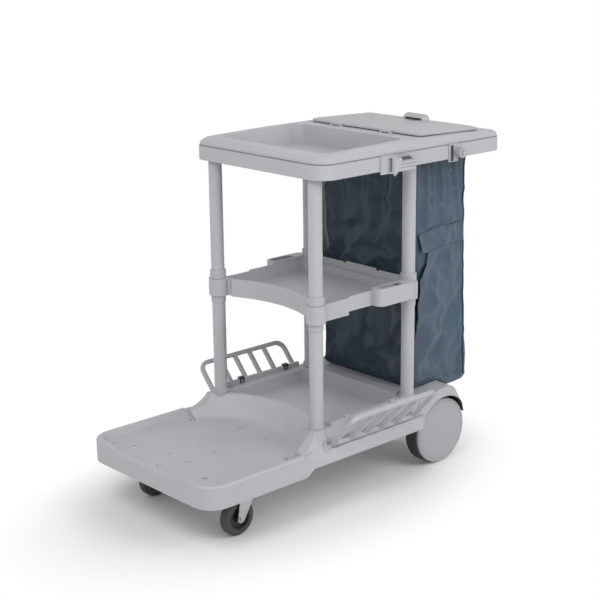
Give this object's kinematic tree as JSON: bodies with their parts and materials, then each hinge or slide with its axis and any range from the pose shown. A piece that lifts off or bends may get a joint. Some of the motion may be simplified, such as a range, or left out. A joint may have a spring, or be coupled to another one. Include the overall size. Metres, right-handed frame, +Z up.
{
  "type": "janitor cart",
  "caption": "Moulded cleaning cart with bucket platform, shelf, top tray, hinged lid over a hanging waste bag, fold-out side racks, large rear wheels and swivel casters.",
  "frame": {"origin": "on the floor under the middle of the cart's bounding box", "axes": "+X to the rear where the lid and the bag are, +Y to the cart's right side, +Z up"},
  "size_m": [1.12, 0.6718, 1.0098],
  "materials": {
    "grey_plastic": "moulded, fine satin grain",
    "post_grey": "smooth satin extrusion",
    "wheel_grey": "moulded satin",
    "tyre": "matt moulded rubber",
    "caster_rubber": "matt moulded rubber",
    "black_plastic": "satin",
    "zinc": "bright zinc plating",
    "nylon": "coated woven nylon, soft sheen"
  },
  "bodies": {
    "cart": {"base_deck": "grey_plastic", "rail_clips": "black_plastic", "foot_collars": "grey_plastic", "shelf_collars": "grey_plastic", "middle_shelf": "grey_plastic", "top_frame": "grey_plastic", "top_tray": "grey_plastic", "lower_post_front_left": "post_grey", "lower_post_front_right": "post_grey", "lower_post_rear_left": "post_grey", "lower_post_rear_right": "post_grey", "upper_post_front_left": "post_grey", "upper_post_front_right": "post_grey", "upper_post_rear_left": "post_grey", "upper_post_rear_right": "post_grey", "lid_pins": "zinc", "bag_frame": "grey_plastic", "bag": "nylon", "bag_rails": "zinc", "rear_axle": "zinc", "axle_spacers": "zinc", "axle_caps": "zinc", "caster_bolts": "zinc", "left_caster_plate": "zinc", "left_caster_race": "zinc", "left_kingpin": "zinc", "right_caster_plate": "zinc", "right_caster_race": "zinc", "right_kingpin": "zinc", "left_rack_pins": "zinc", "right_rack_pins": "zinc", "clip_bracket": "grey_plastic", "clip_pin": "zinc", "roller_bracket": "grey_plastic", "roller_pin": "zinc"},
    "lid": {"lid": "grey_plastic", "lid_grip": "grey_plastic"},
    "left_rear_wheel": {"left_wheel": "wheel_grey", "left_tyre": "tyre", "left_hub_cap": "wheel_grey"},
    "right_rear_wheel": {"right_wheel": "wheel_grey", "right_tyre": "tyre", "right_hub_cap": "wheel_grey"},
    "left_caster_swivel": {"left_fork": "zinc", "left_caster_axle": "zinc"},
    "right_caster_swivel": {"right_fork": "zinc", "right_caster_axle": "zinc"},
    "left_caster_wheel": {"left_caster_hub": "black_plastic", "left_caster_tyre": "caster_rubber"},
    "right_caster_wheel": {"right_caster_hub": "black_plastic", "right_caster_tyre": "caster_rubber"},
    "left_side_rack": {"left_rack": "grey_plastic"},
    "right_side_rack": {"right_rack": "grey_plastic"},
    "tool_arm": {"clip_arm": "grey_plastic"},
    "grip_roller": {"roller": "wheel_grey"}
  },
  "joints": [
    {"name": "left_rear_wheel_spin", "type": "hinge", "parent": "cart", "child": "left_rear_wheel", "pos_m": [0.359, -0.19, 0.1015], "axis": [0, 1, 0], "continuous": true},
    {"name": "left_caster_turn", "type": "hinge", "parent": "cart", "child": "left_caster_swivel", "pos_m": [-0.378, -0.179, 0.117], "axis": [0, 0, 1], "continuous": true},
    {"name": "left_caster_roll", "type": "hinge", "parent": "left_caster_swivel", "child": "left_caster_wheel", "pos_m": [-0.4, -0.179, 0.05], "axis": [0, 1, 0], "continuous": true},
    {"name": "left_rack_fold", "type": "hinge", "parent": "cart", "child": "left_side_rack", "pos_m": [0.052, -0.2395, 0.185], "axis": [-1, 0, 0], "range_deg": [0, 41]},
    {"name": "right_rear_wheel_spin", "type": "hinge", "parent": "cart", "child": "right_rear_wheel", "pos_m": [0.359, 0.19, 0.1015], "axis": [0, 1, 0], "continuous": true},
    {"name": "right_caster_turn", "type": "hinge", "parent": "cart", "child": "right_caster_swivel", "pos_m": [-0.378, 0.179, 0.117], "axis": [0, 0, 1], "continuous": true},
    {"name": "right_caster_roll", "type": "hinge", "parent": "right_caster_swivel", "child": "right_caster_wheel", "pos_m": [-0.4, 0.179, 0.05], "axis": [0, 1, 0], "continuous": true},
    {"name": "right_rack_fold", "type": "hinge", "parent": "cart", "child": "right_side_rack", "pos_m": [0.052, 0.2395, 0.185], "axis": [1, 0, 0], "range_deg": [0, 41]},
    {"name": "lid_hinge", "type": "hinge", "parent": "cart", "child": "lid", "pos_m": [0.242, 0, 0.99279], "axis": [0, -1, 0], "range_deg": [0, 105]},
    {"name": "tool_arm_swing", "type": "hinge", "parent": "cart", "child": "tool_arm", "pos_m": [0.088, -0.281, 0.938], "axis": [0, 0, -1], "range_deg": [0, 90]},
    {"name": "grip_roller_spin", "type": "hinge", "parent": "cart", "child": "grip_roller", "pos_m": [0.352, -0.28, 0.9405], "axis": [0, 1, 0], "continuous": true}
  ]
}
